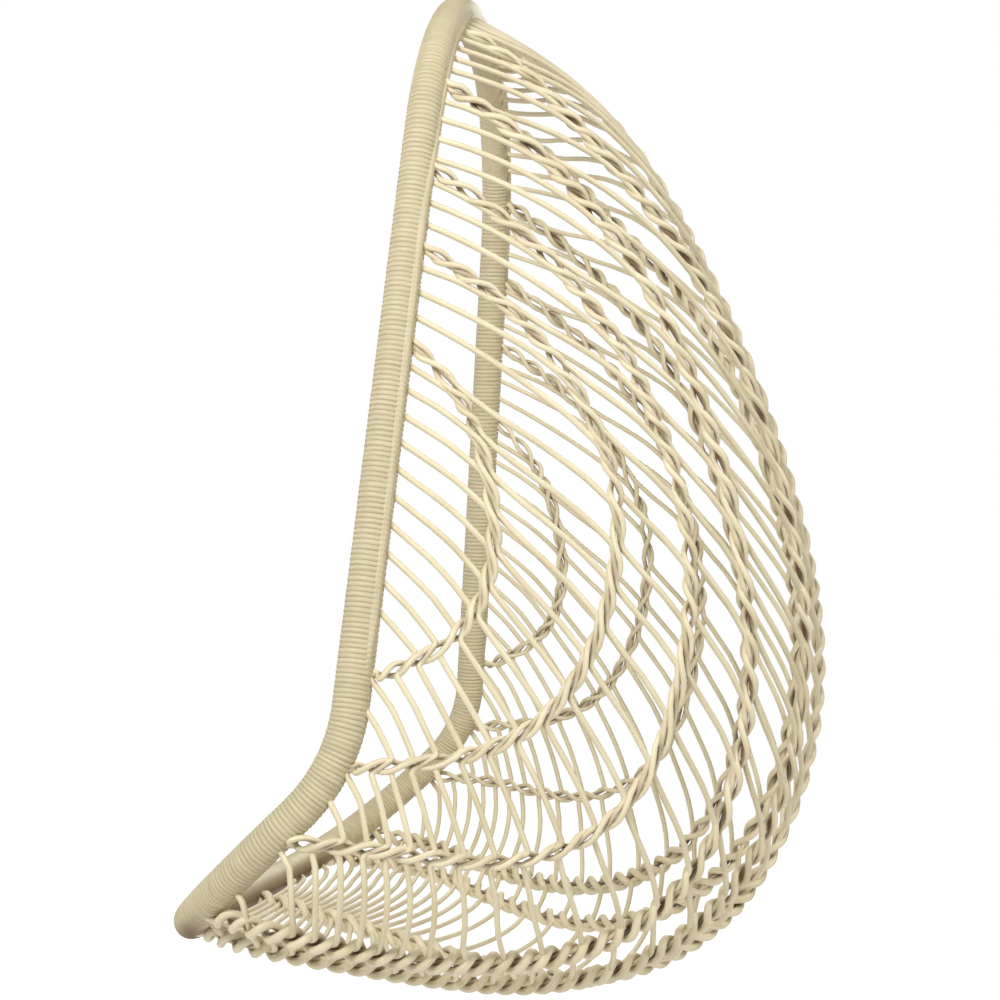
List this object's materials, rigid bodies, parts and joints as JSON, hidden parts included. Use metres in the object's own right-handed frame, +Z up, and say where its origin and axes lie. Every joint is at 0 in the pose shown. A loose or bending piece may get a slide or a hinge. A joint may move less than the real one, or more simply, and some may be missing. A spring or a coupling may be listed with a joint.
{
  "type": "hanging chair",
  "caption": "Egg-shaped hanging basket chair: round strands woven with raised ridges on a bent tube rim with a wound binding, open in front and hung by its crown.",
  "frame": {"origin": "centre of the rim tube at the middle of the crown, where the chair hangs", "axes": "+Z up, -Y out of the open front, X across the chair"},
  "size_m": [0.844, 0.698, 1.1445],
  "materials": {
    "strand": "cream woven strand, satin",
    "binding": "cream strand wound close round the rim, satin",
    "rim_steel": "powder-coated steel, hidden under the binding"
  },
  "bodies": {
    "root": {"crown_plug": "rim_steel", "lip_plug": "rim_steel", "rim_binding_crown": "binding", "rim_binding_left": "binding", "rim_binding_lip": "binding", "rim_binding_right": "binding", "rim_tube_left": "rim_steel", "rim_tube_right": "rim_steel", "strand_01": "strand", "strand_02": "strand", "strand_03": "strand", "strand_04": "strand", "strand_05": "strand", "strand_06": "strand", "strand_07": "strand", "strand_08": "strand", "strand_09": "strand", "strand_10": "strand", "strand_11": "strand", "strand_12": "strand", "strand_13": "strand", "strand_14": "strand", "strand_15": "strand", "strand_16": "strand", "strand_17": "strand", "strand_18": "strand", "strand_19": "strand", "strand_20": "strand", "strand_21": "strand", "strand_22": "strand", "strand_23": "strand", "strand_24": "strand", "strand_25": "strand", "strand_26": "strand", "strand_27": "strand", "strand_28": "strand", "strand_29": "strand", "strand_30": "strand", "strand_31": "strand", "strand_32": "strand", "strand_33": "strand", "strand_34": "strand", "strand_35": "strand", "strand_36": "strand", "strand_37": "strand", "strand_38": "strand", "strand_39": "strand", "strand_40": "strand", "strand_41": "strand", "strand_42": "strand", "strand_43": "strand", "strand_44": "strand", "strand_45": "strand", "strand_46": "strand", "strand_47": "strand", "strand_48": "strand"}
  },
  "joints": []
}
